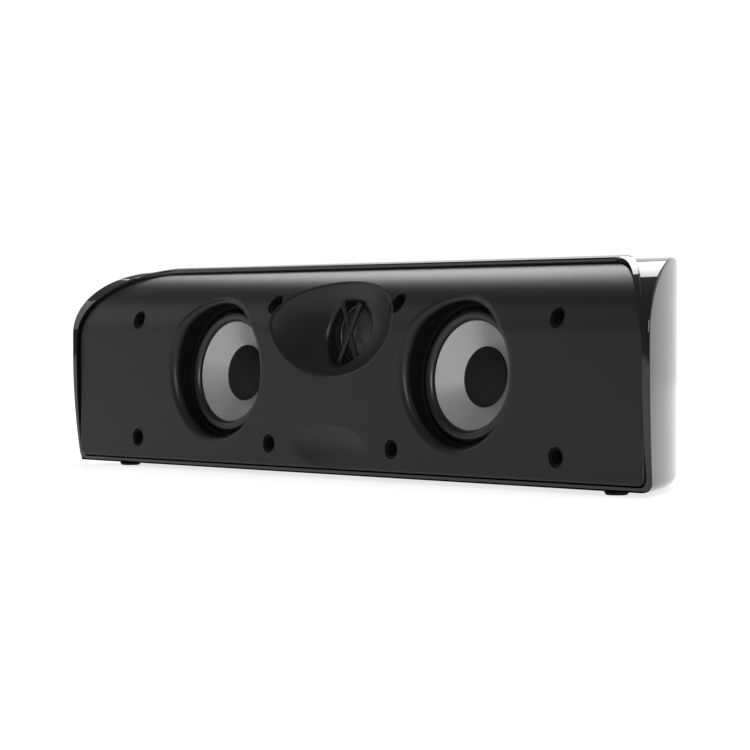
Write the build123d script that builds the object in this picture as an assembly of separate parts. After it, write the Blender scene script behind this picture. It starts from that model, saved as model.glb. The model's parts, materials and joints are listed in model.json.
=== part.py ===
from build123d import *
import math
import os

# Cabinet shell
WIDTH = 357.6  # across the two front corners
DEPTH = 117.0  # front lip to rear wall
SHELL_HEIGHT = 87.2  # underside to crown, without feet and lip
WALL = 3.0
FOOT_HEIGHT = 2.0
LIP_PROUD = 1.7  # lip stands this far off the shell's front
LIP_WIDTH = 1.6
LIP_TOP_WIDTH = 2.6
LIP_BOTTOM_WIDTH = 1.2
LIP_RUN = 3.5  # lip's thickness front to back where it crosses the top
BELLY_Z = 49.8  # height of the most forward point of the front
BOTTOM_SETBACK = 3.3  # front edge leans back this far at the underside
ROLL_DEPTH = 38.4  # front rolls into the top over this depth
ROLL_HEIGHT = 28.9
REAR_DROP = 5.0  # top falls this far towards the rear
TAPER_START = 24.9  # side wall's angle at the front corner, degrees
SIDE_RADIUS = 245.0  # plan radius of the side walls
REAR_CORNER = 14.0
BOTTOM_EDGE = 4.0

# Front opening, ledge and baffle
OPEN_MARGIN = 3.6  # front corner to opening edge
OPEN_SILL = 1.7  # underside to opening
OPEN_TOP_GAP = 1.35  # opening's top below the crown
OPEN_CORNER_WIDE = 38.0
OPEN_CORNER_TALL = 32.5
OPEN_FOOT_RADIUS = 4.0
OPEN_FOOT_LEAST = 0.6
OPEN_RUN = 30.3  # opening reaches this far back over the roll
BAFFLE_RECESS = 3.2  # flat of the baffle behind the lip
BAFFLE_CROWN_GAP = 0.5  # baffle's crown below the shell's
BAFFLE_PLATE = 3.0
BAFFLE_GAP = 0.6  # joint line round the baffle
GASKET = 0.6
LEDGE_THICK = 2.5
LEDGE_WIDE = 5.0
LEDGE_LOW = 3.6  # ledge is narrower along the sill
LEDGE_ROOT = 2.0  # ledge reaches this far into the walls
FIT = 0.02  # how near an edge must lie to the form it is looked for on
SKIN = 0.5  # fused pieces stop this far inside the outer skin

# Driver positions
WOOFER_X = 75.0
WOOFER_Z = 43.8
CONE_BEHIND_BAFFLE = 10.65
DRIVER_TILT = 5.54  # all drivers lean back together, degrees
TWEETER_Z = 60.7

# Woofer recess and motor
RECESS_R = 30.4
RECESS_EDGE = 1.5
RECESS_LIP_R = 27.5  # lip at the recess floor, over the surround's edge
RECESS_LIP = 1.5
CUP_WALL = 2.5
CUP_RING_R = 35.2
CUP_RING_THICK = 3.0
CONE_R = 21.8
CONE_DEPTH = 8.5
CONE_THICK = 0.8
COIL_R = 10.0
COIL_WALL = 0.25
WINDING = 0.4
WINDING_LENGTH = 5.4
COIL_LENGTH = 14.0
CAP_R = 12.2
CAP_HEIGHT = 3.2
CAP_THICK = 0.5
SURROUND_THICK = 0.5
SURROUND_LIP = 0.6
SURROUND_CREST = 2.3
FLANGE_R = 34.4
FLANGE_THICK = 1.2
BASKET_DEPTH = 16.2  # flange face to basket floor
BASKET_FLOOR_R = 19.5
SPIDER_DROP = 10.0  # flange face to spider ledge
SPIDER_LEDGE = 3.6
SPIDER_R = 22.0
SPIDER_THICK = 0.5
SPIDER_WAVE = 0.9
WINDOW_WIDTH = 17.0
WINDOW_HEIGHT = 5.0
TOP_PLATE_R = 20.0
TOP_PLATE_THICK = 3.0
MAGNET_R = 22.5
MAGNET_HOLE_R = 12.5
MAGNET_THICK = 9.0
YOKE_THICK = 3.5
POLE_GAP = 0.45  # pole to coil, and winding to top plate
SCREW_CIRCLE_R = 32.0
SCREW_R = 1.25
SCREW_LENGTH = 5.6
SCREW_HEAD_R = 2.6
SCREW_HEAD = 1.6
SCREW_CLEARANCE = 0.25

# Tweeter and its dish
DISH_WIDE = 57.8  # half axes of the hollow's full form
DISH_DEEP = 49.8
DISH_TALL = 39.6
DISH_AHEAD = 35.6  # form's middle ahead of the baffle's flat
DISH_Z = 70.1
DISH_WALL = 2.5
THROAT_R = 13.1
THROAT_EDGE = 1.0
DISH_EDGE = 1.0
BAFFLE_EDGE = 1.0
GUARD_WIDTH = 2.0
GUARD_THICK = 1.8
GUARD_SPREAD = 24.0  # each bar leans this far off upright, degrees
FACE_DEPTH = 3.5  # guard plane to tweeter faceplate
FACE_R = 20.5
FACE_HOLE_R = 13.6
FACE_THICK = 2.5
DOME_R = 11.6
DOME_HEIGHT = 3.6
DOME_THICK = 0.4
DOME_ROLL_R = 13.4
DOME_ROLL_HEIGHT = 0.9
TWEETER_COIL_WALL = 0.5
TWEETER_COIL_LENGTH = 4.2
TWEETER_POLE_GAP = 0.4
TWEETER_PLATE_THICK = 2.5
TWEETER_MAGNET_R = 9.5
TWEETER_MAGNET_THICK = 5.0
TWEETER_YOKE_THICK = 3.0
TWEETER_SCREW_CIRCLE_R = 17.6

# Grille peg sockets and the bare oval hollow
SOCKET_OUTER_X = 130.2
SOCKET_INNER_X = 38.4
SOCKET_LOW_Z = 13.7
SOCKET_OUTER_Z = 66.4
SOCKET_INNER_Z = 72.6
SOCKET_R = 3.9
SOCKET_BORE_R = 2.8
SOCKET_DEPTH = 9.0
SOCKET_FLOOR = 1.0
SOCKET_SUNK = 0.6
BOSS_WALL = 2.0
OVAL_WIDE = 30.4  # half axes of the shallow oval hollow's full form
OVAL_TALL = 11.6
OVAL_DEEP = 4.0
OVAL_AHEAD = 2.8
OVAL_Z = 13.8

# Feet
FOOT_R = 4.65
FOOT_FRONT_X = 151.0
FOOT_FRONT_INSET = 14.6  # behind the front lip
FOOT_REAR_X = 72.0
FOOT_REAR_INSET = 17.0  # ahead of the rear wall
FOOT_EDGE = 0.8

# Terminal cup, binding posts and wall insert
CUP_Z = 36.0
CUP_WIDE = 56.0
CUP_TALL = 42.0
CUP_FLANGE = 5.5
CUP_FLANGE_THICK = 1.5
CUP_SUNK = 1.8  # flange below the rear face, so the screw heads stay inside
CUP_SEAT_THICK = 3.0
CUP_DEPTH = 18.0
CUP_SKIN = 2.0
CUP_CORNER = 5.0
CUP_CLEARANCE = 0.3
POST_SPACING = 19.05
POST_R = 2.9
POST_LENGTH = 11.0
POST_FLANGE_R = 5.5
POST_FLANGE = 2.5
PLUG_R = 2.05
PLUG_DEPTH = 9.5
WASHER = 1.0
POST_CLEARANCE = 0.1
CAP_NUT_R = 6.2
CAP_NUT_LENGTH = 10.5
CAP_NUT_SIDES = 12
CAP_NUT_END = 1.4
NUT_R = 4.0
NUT_THICK = 3.0
INSERT_Z = 73.0
INSERT_R = 5.0
INSERT_BORE_R = 3.175  # quarter inch thread
INSERT_LENGTH = 12.0
INSERT_BOSS_WALL = 2.5
INSERT_FLOOR = 2.0

# Crossover
BOARD_WIDE = 56.0
BOARD_LOW_Z = 12.0
BOARD_HIGH_Z = 66.0
BOARD_THICK = 1.6
BOARD_STANDOFF = 2.0
COIL_X = 15.0
COIL_Z = 54.0
CHOKE_R = 10.5
CHOKE_HOLE_R = 4.0
CHOKE_HEIGHT = 9.0
CAPACITOR_R = 5.0
CAPACITOR_LENGTH = 20.0
CAPACITOR_X = 14.0
CAPACITOR_Z = 20.0
RESISTOR_X = 21.0
RESISTOR_Z = 36.0
RESISTOR_SIZE = 8.0
RESISTOR_LENGTH = 14.0

# Damping pads
PAD_FROM_END = 50.8  # pad's middle to the cabinet's end
PAD_WIDE = 22.0
PAD_DEEP = 26.0
PAD_TALL = 60.0

# Places worked out from the sizes above
FLOOR = FOOT_HEIGHT
CROWN = FLOOR + SHELL_HEIGHT
REAR = DEPTH / 2
SHELL_FRONT = -DEPTH / 2 + LIP_PROUD
ROLL_Y = SHELL_FRONT + ROLL_DEPTH
ROLL_Z = CROWN - ROLL_HEIGHT
TAPER = math.radians(TAPER_START)
SIDE_CX = WIDTH / 2 - SIDE_RADIUS * math.cos(TAPER)
SIDE_CY = SHELL_FRONT - SIDE_RADIUS * math.sin(TAPER)
OPEN_HALF = WIDTH / 2 - OPEN_MARGIN
OPEN_BOTTOM = FLOOR + OPEN_SILL
OPEN_TOP = CROWN - OPEN_TOP_GAP
OPEN_BACK = -DEPTH / 2 + OPEN_RUN
BAFFLE_Y = -DEPTH / 2 + BAFFLE_RECESS
BAFFLE_CROWN = CROWN - BAFFLE_CROWN_GAP
CONE_Y = BAFFLE_Y + CONE_BEHIND_BAFFLE
TILT = math.radians(DRIVER_TILT)
FRONTWARD = (0, -math.cos(TILT), math.sin(TILT))
TWEETER_Y = CONE_Y + (TWEETER_Z - WOOFER_Z) * math.tan(TILT)
FAR = WIDTH  # longer than any cut
ROUND = [1, math.sqrt(0.5), 1]  # weights of a quarter ellipse

tweeter_plane = Plane(origin=(0, TWEETER_Y, TWEETER_Z), x_dir=(1, 0, 0), z_dir=FRONTWARD)


def woofer_plane(x):
    return Plane(origin=(x, CONE_Y, WOOFER_Z), x_dir=(1, 0, 0), z_dir=FRONTWARD)


def rod(radius, low, high):
    upward = (Align.CENTER, Align.CENTER, Align.MIN)
    return Pos(0, 0, low) * Cylinder(radius, high - low, align=upward)


def ring(inner, outer, low, high):
    return rod(outer, low, high) - rod(inner, low, high)


def turned(*points):
    return revolve(Plane.XZ * make_face(Polyline(*points, close=True)), Axis.Z)


def outward(radius, front, back, x, z):
    # Cylinder along the depth, from front to back
    plane = Plane(origin=(x, back, z), x_dir=(1, 0, 0), z_dir=(0, -1, 0))
    return plane * rod(radius, 0, back - front)


def side_x(y, grow):
    return SIDE_CX + math.sqrt((SIDE_RADIUS + grow) ** 2 - (y - SIDE_CY) ** 2)


def side_profile(grow):
    # Side view of the shell: bowed front, rolled top edge, top falling to the rear
    front = SHELL_FRONT - grow
    bottom = FLOOR - grow
    crown = CROWN + grow
    rear = REAR + grow
    toe = (front + BOTTOM_SETBACK, bottom)
    tail = (rear, crown - REAR_DROP)
    edges = [
        TangentArc((front, BELLY_Z), toe, tangent=(0, -1)),
        Line((front, BELLY_Z), (front, ROLL_Z)),
        Bezier((front, ROLL_Z), (front, crown), (ROLL_Y, crown), weights=ROUND),
        TangentArc((ROLL_Y, crown), tail, tangent=(1, 0)),
        Line(tail, (rear, bottom)),
        Line((rear, bottom), toe),
    ]
    return Plane.YZ * make_face(edges)


def plan_outline(grow):
    # Plan view: curved sides that close in towards a narrow flat rear
    front = SHELL_FRONT - WALL - abs(grow)
    rear = REAR + grow
    middle = (front + rear) / 2
    right = [(side_x(y, grow), y) for y in (front, middle, rear)]
    left = [(-x, y) for x, y in right]
    edges = [
        Line(left[0], right[0]),
        ThreePointArc(*right),
        Line(right[2], left[2]),
        ThreePointArc(*left),
    ]
    face = make_face(edges)
    return fillet(face.vertices().group_by(Axis.Y)[-1], REAR_CORNER + grow)


def cabinet_form(grow):
    plan = extrude(Pos(0, 0, FLOOR - FAR / 2) * plan_outline(grow), FAR)
    return plan & extrude(side_profile(grow), FAR, both=True)


def front_outline(sides, top, bottom):
    # Front view of the opening, each side grown by its own amount
    half = OPEN_HALF + sides
    high = OPEN_TOP + top
    low = OPEN_BOTTOM - bottom
    wide = OPEN_CORNER_WIDE + sides
    tall = OPEN_CORNER_TALL + top
    foot = max(OPEN_FOOT_RADIUS + sides, OPEN_FOOT_LEAST)
    right = [
        Line((half - foot, low), (0, low)),
        Bezier((half, low + foot), (half, low), (half - foot, low), weights=ROUND),
        Line((half, high - tall), (half, low + foot)),
        Bezier((half - wide, high), (half, high), (half, high - tall), weights=ROUND),
        Line((0, high), (half - wide, high)),
    ]
    left = [mirror(edge, Plane.YZ) for edge in right]
    return make_face(right + left)


def front_prism(sides, top, bottom, back):
    plane = Plane(origin=(0, back, 0), x_dir=(1, 0, 0), z_dir=(0, -1, 0))
    return extrude(plane * front_outline(sides, top, bottom), DEPTH)


def even_prism(grow, back):
    return front_prism(grow, grow, grow, back)


def ledge_hole(back):
    # Clear way through the ledge
    return front_prism(-LEDGE_WIDE, -LEDGE_WIDE, -LEDGE_LOW, back)


def baffle_form(grow):
    # Everything behind the baffle's face, moved forward by grow
    front = BAFFLE_Y - grow
    crown = BAFFLE_CROWN + grow
    low = FLOOR - FAR
    edges = [
        Line((front, low), (front, ROLL_Z)),
        Bezier((front, ROLL_Z), (front, crown), (ROLL_Y, crown), weights=ROUND),
        Line((ROLL_Y, crown), (REAR, crown)),
        Line((REAR, crown), (REAR, low)),
        Line((REAR, low), (front, low)),
    ]
    return extrude(Plane.YZ * make_face(edges), FAR, both=True)


def baffle_face_y(z):
    # Depth of the baffle's face at a height
    rise = max(z - ROLL_Z, 0) / (BAFFLE_CROWN - ROLL_Z)
    return ROLL_Y - (ROLL_Y - BAFFLE_Y) * math.sqrt(1 - rise**2)


def rounded_block(wide, tall, corner, front, back, z):
    plane = Plane(origin=(0, back, z), x_dir=(1, 0, 0), z_dir=(0, -1, 0))
    return extrude(plane * RectangleRounded(wide, tall, corner), back - front)


def four_round(piece, radius, start):
    # Four copies spaced round the axis
    return Part() + [place * piece for place in PolarLocations(radius, 4, start)]


def cabinet_shell():
    body = cabinet_form(0)
    soft = [e for e in body.edges().group_by(Axis.Z)[0] if e.center().Y > SHELL_FRONT + ROLL_DEPTH / 2]
    body = fillet(soft, BOTTOM_EDGE)
    body -= cabinet_form(-WALL)

    # Opening, then the ledge that carries the baffle
    seat = BAFFLE_PLATE + GASKET
    body -= even_prism(0, OPEN_BACK) - baffle_form(-seat)
    body -= ledge_hole(SHELL_FRONT + 4 * WALL)
    inside = cabinet_form(-SKIN) - baffle_form(-seat - LEDGE_THICK)
    ledge = inside & baffle_form(-seat) & even_prism(LEDGE_ROOT, OPEN_BACK + LEDGE_THICK)
    body += ledge - ledge_hole(OPEN_BACK + LEDGE_THICK)
    stop = inside & even_prism(LEDGE_ROOT, OPEN_BACK + LEDGE_THICK)
    body += stop - even_prism(LEDGE_ROOT + BAFFLE_GAP, OPEN_BACK)

    # Raised lip round the opening
    lip = front_prism(LIP_WIDTH, LIP_TOP_WIDTH, LIP_BOTTOM_WIDTH, OPEN_BACK + LIP_RUN)
    lip &= extrude(side_profile(LIP_PROUD), FAR, both=True)
    lip &= extrude(Pos(0, 0, FLOOR - FAR / 2) * plan_outline(0), FAR)
    body += lip - even_prism(0, OPEN_BACK) - cabinet_form(-SKIN)

    # Rear cut-out with a rabbet for the terminal cup, and the boss of the wall insert
    rabbet_wide = CUP_WIDE + 2 * (CUP_FLANGE + CUP_CLEARANCE)
    rabbet_tall = CUP_TALL + 2 * (CUP_FLANGE + CUP_CLEARANCE)
    rabbet = REAR - CUP_SUNK - CUP_FLANGE_THICK
    hole_wide = CUP_WIDE + 2 * CUP_CLEARANCE
    hole_tall = CUP_TALL + 2 * CUP_CLEARANCE
    seat_back = rabbet - CUP_SEAT_THICK
    corner = CUP_CORNER + CUP_FLANGE
    body += rounded_block(rabbet_wide + 2 * WALL, rabbet_tall + 2 * WALL, corner, seat_back, REAR - SKIN, CUP_Z)
    body -= rounded_block(rabbet_wide, rabbet_tall, corner, rabbet, REAR + WALL, CUP_Z)
    body -= rounded_block(hole_wide, hole_tall, CUP_CORNER, seat_back - WALL, REAR + WALL, CUP_Z)
    for x, z in cup_screw_places():
        body -= outward(SCREW_R, seat_back + SKIN, REAR, x, z)
    boss_front = REAR - INSERT_LENGTH - INSERT_FLOOR
    body += outward(INSERT_R + INSERT_BOSS_WALL, boss_front, REAR - SKIN, 0, INSERT_Z)
    body -= outward(INSERT_R, REAR - INSERT_LENGTH, REAR + WALL, 0, INSERT_Z)
    return body


def cup_screw_places():
    x = CUP_WIDE / 2 + CUP_FLANGE / 2
    z = CUP_TALL / 2 + CUP_FLANGE / 2
    inset = CUP_CORNER / 2
    return [(sx * (x - inset), CUP_Z + sz * (z - inset)) for sx in (-1, 1) for sz in (-1, 1)]


def socket_places():
    outer = [(SOCKET_OUTER_X, SOCKET_LOW_Z), (SOCKET_OUTER_X, SOCKET_OUTER_Z)]
    inner = [(SOCKET_INNER_X, SOCKET_LOW_Z), (SOCKET_INNER_X, SOCKET_INNER_Z)]
    return [(side * x, z) for side in (-1, 1) for x, z in outer + inner]


def dish(grow):
    form = scale(Sphere(1), by=(DISH_WIDE + grow, DISH_DEEP + grow, DISH_TALL + grow))
    return Pos(0, BAFFLE_Y - DISH_AHEAD, DISH_Z) * form


def face_edges(body, lies):
    """Edges of the baffle's face whose middle passes a test."""
    found = []
    for edge in body.edges():
        spot = edge.position_at(0.5)
        ahead = spot.Z < BAFFLE_CROWN and abs(spot.Y - baffle_face_y(spot.Z)) < FIT
        if ahead and lies(spot):
            found.append(edge)
    return found


def on_recess(spot):
    near = woofer_plane(math.copysign(WOOFER_X, spot.X)).to_local_coords(spot)
    return abs(math.hypot(near.X, near.Y) - RECESS_R) < FIT


def on_dish(spot):
    deep = (spot.Y - BAFFLE_Y + DISH_AHEAD) / DISH_DEEP
    reach = (spot.X / DISH_WIDE) ** 2 + deep**2 + ((spot.Z - DISH_Z) / DISH_TALL) ** 2
    return abs(reach - 1) < FIT


def off_seam(spot):
    return abs(spot.Z - ROLL_Z) > FIT


def front_baffle():
    behind = baffle_form(-SKIN)
    plate = even_prism(-BAFFLE_GAP, OPEN_BACK - BAFFLE_GAP) & baffle_form(0)
    plate = fillet(face_edges(plate, off_seam), BAFFLE_EDGE)
    body = plate - baffle_form(-BAFFLE_PLATE)

    # Driver cups with mounting rings, then the dish and throat of the tweeter
    reach = CONE_BEHIND_BAFFLE * 2
    for x in (-WOOFER_X, WOOFER_X):
        cup = rod(RECESS_R + CUP_WALL, 0, reach) + rod(CUP_RING_R, 0, CUP_RING_THICK)
        body += (woofer_plane(x) * cup) & behind
    body += dish(DISH_WALL) & behind
    body += (tweeter_plane * rod(FACE_R, -FACE_DEPTH, FACE_DEPTH)) & behind
    for x, z in socket_places():
        face = baffle_face_y(z)
        body += outward(SOCKET_R + BOSS_WALL, face, face + SOCKET_DEPTH + BOSS_WALL, x, z) & behind
    for x in (-WOOFER_X, WOOFER_X):
        body -= woofer_plane(x) * rod(RECESS_R, RECESS_LIP, 2 * reach)
        body -= woofer_plane(x) * rod(RECESS_LIP_R, -reach, reach)
        pilots = four_round(rod(SCREW_R, 0, CUP_RING_THICK - SKIN), SCREW_CIRCLE_R, 45)
        body -= woofer_plane(x) * pilots
    body = fillet(face_edges(body, on_recess), RECESS_EDGE)
    body -= dish(0)
    body = fillet(face_edges(body, on_dish), DISH_EDGE)
    body -= tweeter_plane * rod(THROAT_R, -reach, reach)
    body -= tweeter_plane * rod(FACE_R + SCREW_CLEARANCE, -reach, -FACE_DEPTH)
    pilots = four_round(rod(SCREW_R, -FACE_DEPTH, -SKIN), TWEETER_SCREW_CIRCLE_R, 0)
    body -= tweeter_plane * pilots

    # Crossed guard bars in the throat
    bar = Box(GUARD_WIDTH, 2 * THROAT_R + 2 * THROAT_EDGE, GUARD_THICK)
    guard = Rot(0, 0, GUARD_SPREAD) * bar + Rot(0, 0, -GUARD_SPREAD) * bar
    guard &= rod(THROAT_R + THROAT_EDGE / 2, -GUARD_THICK, GUARD_THICK)
    body += tweeter_plane * guard

    for x, z in socket_places():
        face = baffle_face_y(z)
        body -= outward(SOCKET_R, face - reach, face + SOCKET_DEPTH, x, z)
    oval = scale(Sphere(1), by=(OVAL_WIDE, OVAL_DEEP, OVAL_TALL))
    body -= Pos(0, BAFFLE_Y - OVAL_AHEAD, OVAL_Z) * oval
    return body


def baffle_gasket():
    sheet = baffle_form(-BAFFLE_PLATE) - baffle_form(-BAFFLE_PLATE - GASKET)
    back = OPEN_BACK - BAFFLE_GAP
    return (sheet & even_prism(-BAFFLE_GAP, back)) - ledge_hole(back)


def grille_sockets():
    group = Part()
    for x, z in socket_places():
        face = baffle_face_y(z)
        sleeve = outward(SOCKET_R, face - SOCKET_DEPTH, face + SOCKET_DEPTH, x, z)
        sleeve -= outward(SOCKET_BORE_R, face - SOCKET_DEPTH, face + SOCKET_DEPTH - SOCKET_FLOOR, x, z)
        group += sleeve & baffle_form(-SOCKET_SUNK)
    return group


def feet():
    places = [(FOOT_FRONT_X, -DEPTH / 2 + FOOT_FRONT_INSET), (FOOT_REAR_X, REAR - FOOT_REAR_INSET)]
    pad = rod(FOOT_R, 0, FOOT_HEIGHT)
    pad = chamfer(pad.edges().group_by(Axis.Z)[0], FOOT_EDGE)
    return Part() + [Pos(side * x, y, 0) * pad for side in (-1, 1) for x, y in places]


def woofer_pieces():
    # Heights run forward from the cone's outer edge
    flange_face = -GASKET - SURROUND_LIP / 2
    flange_back = flange_face - FLANGE_THICK
    floor_back = flange_face - BASKET_DEPTH
    floor_top = floor_back + FLANGE_THICK
    ledge = flange_face - SPIDER_DROP
    ledge_in = SPIDER_R - SPIDER_LEDGE
    rim_in = CONE_R + SURROUND_CREST + SURROUND_THICK * 2
    slope = FLANGE_THICK * 1.2

    basket = turned(
        (rim_in, flange_face),
        (FLANGE_R, flange_face),
        (FLANGE_R, flange_back),
        (rim_in + slope, flange_back),
        (SPIDER_R + slope, ledge - FLANGE_THICK),
        (BASKET_FLOOR_R + slope, ledge - FLANGE_THICK),
        (BASKET_FLOOR_R, floor_back),
        (MAGNET_HOLE_R, floor_back),
        (MAGNET_HOLE_R, floor_top),
        (BASKET_FLOOR_R - slope, floor_top),
        (ledge_in, ledge),
        (SPIDER_R, ledge),
    )
    holes = four_round(rod(SCREW_R + SCREW_CLEARANCE, flange_back, 0), SCREW_CIRCLE_R, 45)
    basket -= holes
    slot = Box(2 * FLANGE_R, WINDOW_WIDTH, WINDOW_HEIGHT)
    slot = Pos(0, 0, (flange_back + ledge) / 2) * slot
    basket -= slot + Rot(0, 0, 90) * slot

    lip_in = RECESS_LIP_R + SCREW_CLEARANCE
    gasket = ring(lip_in, FLANGE_R, flange_face, 0) - holes

    # Half-roll surround between the cone's edge and the flange
    lip_top = flange_face + SURROUND_LIP
    roll_out = RECESS_LIP_R - SURROUND_CREST * 2 / 3
    roll_mid = (CONE_R + roll_out) / 2
    crest = SURROUND_CREST + SURROUND_THICK
    over = [
        Line((CONE_R, -SURROUND_LIP), (CONE_R, 0)),
        ThreePointArc((CONE_R, 0), (roll_mid, crest), (roll_out, 0)),
        Line((roll_out, 0), (roll_out + SURROUND_THICK, lip_top)),
        Line((roll_out + SURROUND_THICK, lip_top), (RECESS_LIP_R, lip_top)),
        Line((RECESS_LIP_R, lip_top), (RECESS_LIP_R, flange_face)),
        Line((RECESS_LIP_R, flange_face), (roll_out - SURROUND_THICK, flange_face)),
        ThreePointArc(
            (roll_out - SURROUND_THICK, flange_face),
            (roll_mid, SURROUND_CREST - SURROUND_LIP / 2),
            (CONE_R + SURROUND_THICK, -SURROUND_LIP),
        ),
        Line((CONE_R + SURROUND_THICK, -SURROUND_LIP), (CONE_R, -SURROUND_LIP)),
    ]
    surround = revolve(Plane.XZ * make_face(over), Axis.Z)

    neck = -CONE_DEPTH
    coil_out = COIL_R + COIL_WALL
    cone = turned(
        (CONE_R, 0),
        (coil_out, neck),
        (coil_out, neck - CONE_THICK * 2),
        (CONE_R, -SURROUND_LIP),
    )
    coil_end = neck - COIL_LENGTH
    wind_out = coil_out + WINDING
    coil = turned(
        (COIL_R, neck),
        (coil_out, neck),
        (coil_out, coil_end + WINDING_LENGTH),
        (wind_out, coil_end + WINDING_LENGTH),
        (wind_out, coil_end),
        (COIL_R, coil_end),
    )

    # Dust cap, a thin dome seated on the cone
    seat = neck + (CAP_R - coil_out) * CONE_DEPTH / (CONE_R - coil_out)
    over = [
        Line((0, seat + CAP_HEIGHT - CAP_THICK), (0, seat + CAP_HEIGHT)),
        TangentArc((0, seat + CAP_HEIGHT), (CAP_R, seat), tangent=(1, 0)),
        Line((CAP_R, seat), (CAP_R - CAP_THICK, seat)),
        TangentArc((0, seat + CAP_HEIGHT - CAP_THICK), (CAP_R - CAP_THICK, seat), tangent=(1, 0)),
    ]
    cap = revolve(Plane.XZ * make_face(over), Axis.Z)

    # Corrugated spider from the coil to the basket's ledge
    span = SPIDER_R - SPIDER_LEDGE - coil_out
    waves = [(coil_out + span * k / 4, SPIDER_WAVE * (k % 2)) for k in range(5)]
    waves[0] = (coil_out, 0)
    low = [(r, ledge + h) for r, h in waves] + [(SPIDER_R - SCREW_CLEARANCE, ledge)]
    high = [(r, z + SPIDER_THICK) for r, z in reversed(low)]
    spider = turned(*low, *high)

    plate_back = floor_back - TOP_PLATE_THICK
    magnet_back = plate_back - MAGNET_THICK
    top_plate = ring(wind_out + POLE_GAP, TOP_PLATE_R, plate_back, floor_back)
    magnet = ring(MAGNET_HOLE_R, MAGNET_R, magnet_back, plate_back)
    yoke = rod(TOP_PLATE_R, magnet_back - YOKE_THICK, magnet_back)
    yoke += rod(COIL_R - POLE_GAP, magnet_back, floor_back)

    shank = rod(SCREW_R, flange_back, min(flange_back + SCREW_LENGTH, CUP_RING_THICK - SKIN))
    screw = shank + rod(SCREW_HEAD_R, flange_back - SCREW_HEAD, flange_back)
    screws = four_round(screw, SCREW_CIRCLE_R, 45)
    return {
        "basket": basket,
        "gasket": gasket,
        "surround": surround,
        "cone": cone,
        "dust_cap": cap,
        "voice_coil": coil,
        "spider": spider,
        "top_plate": top_plate,
        "magnet": magnet,
        "yoke": yoke,
    }, screws


def tweeter_pieces():
    # Heights run forward from the guard's middle plane
    face_back = -FACE_DEPTH - FACE_THICK
    edge = face_back - DOME_THICK / 2
    pot_r = TWEETER_SCREW_CIRCLE_R - SCREW_HEAD_R - SCREW_CLEARANCE
    face = ring(FACE_HOLE_R, FACE_R, face_back, -FACE_DEPTH)
    hole = rod(SCREW_R + SCREW_CLEARANCE, -FACE_R, 0)
    holes = four_round(hole, TWEETER_SCREW_CIRCLE_R, 0)
    face -= holes

    top = edge + DOME_HEIGHT
    over = [
        Line((0, top - DOME_THICK), (0, top)),
        TangentArc((0, top), (DOME_R, edge), tangent=(1, 0)),
        Line((DOME_R, edge), (DOME_R - DOME_THICK, edge)),
        TangentArc((0, top - DOME_THICK), (DOME_R - DOME_THICK, edge), tangent=(1, 0)),
    ]
    dome = revolve(Plane.XZ * make_face(over), Axis.Z)

    lip_back = face_back - DOME_THICK
    roll_mid = (DOME_R + DOME_ROLL_R) / 2
    over = [
        Line((DOME_R, edge), (DOME_R, edge - DOME_THICK / 2)),
        ThreePointArc(
            (DOME_R, edge - DOME_THICK / 2),
            (roll_mid, edge - DOME_THICK / 2 + DOME_ROLL_HEIGHT - DOME_THICK),
            (DOME_ROLL_R, lip_back),
        ),
        Line((DOME_ROLL_R, lip_back), (pot_r, lip_back)),
        Line((pot_r, lip_back), (pot_r, face_back)),
        Line((pot_r, face_back), (DOME_ROLL_R, face_back)),
        ThreePointArc((DOME_ROLL_R, face_back), (roll_mid, edge + DOME_ROLL_HEIGHT), (DOME_R, edge)),
    ]
    surround = revolve(Plane.XZ * make_face(over), Axis.Z)

    coil_in = DOME_R - TWEETER_COIL_WALL
    coil = ring(coil_in, DOME_R - DOME_THICK / 4, edge - TWEETER_COIL_LENGTH, edge)
    # Inside-out motor: disc magnet and pole plate in a steel pot
    plate_front = lip_back - DOME_THICK
    plate_back = plate_front - TWEETER_PLATE_THICK
    magnet_back = plate_back - TWEETER_MAGNET_THICK
    pole_plate = rod(coil_in - TWEETER_POLE_GAP, plate_back, plate_front)
    magnet = rod(TWEETER_MAGNET_R, magnet_back, plate_back)
    yoke = rod(pot_r, magnet_back - TWEETER_YOKE_THICK, lip_back)
    yoke -= rod(DOME_R + TWEETER_POLE_GAP, magnet_back, lip_back)

    screw = rod(SCREW_R, face_back, -SKIN * 2) + rod(SCREW_HEAD_R, face_back - SCREW_HEAD, face_back)
    screws = four_round(screw, TWEETER_SCREW_CIRCLE_R, 0)
    return {
        "faceplate": face,
        "dome": dome,
        "surround": surround,
        "voice_coil": coil,
        "pole_plate": pole_plate,
        "magnet": magnet,
        "yoke": yoke,
    }, screws


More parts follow.
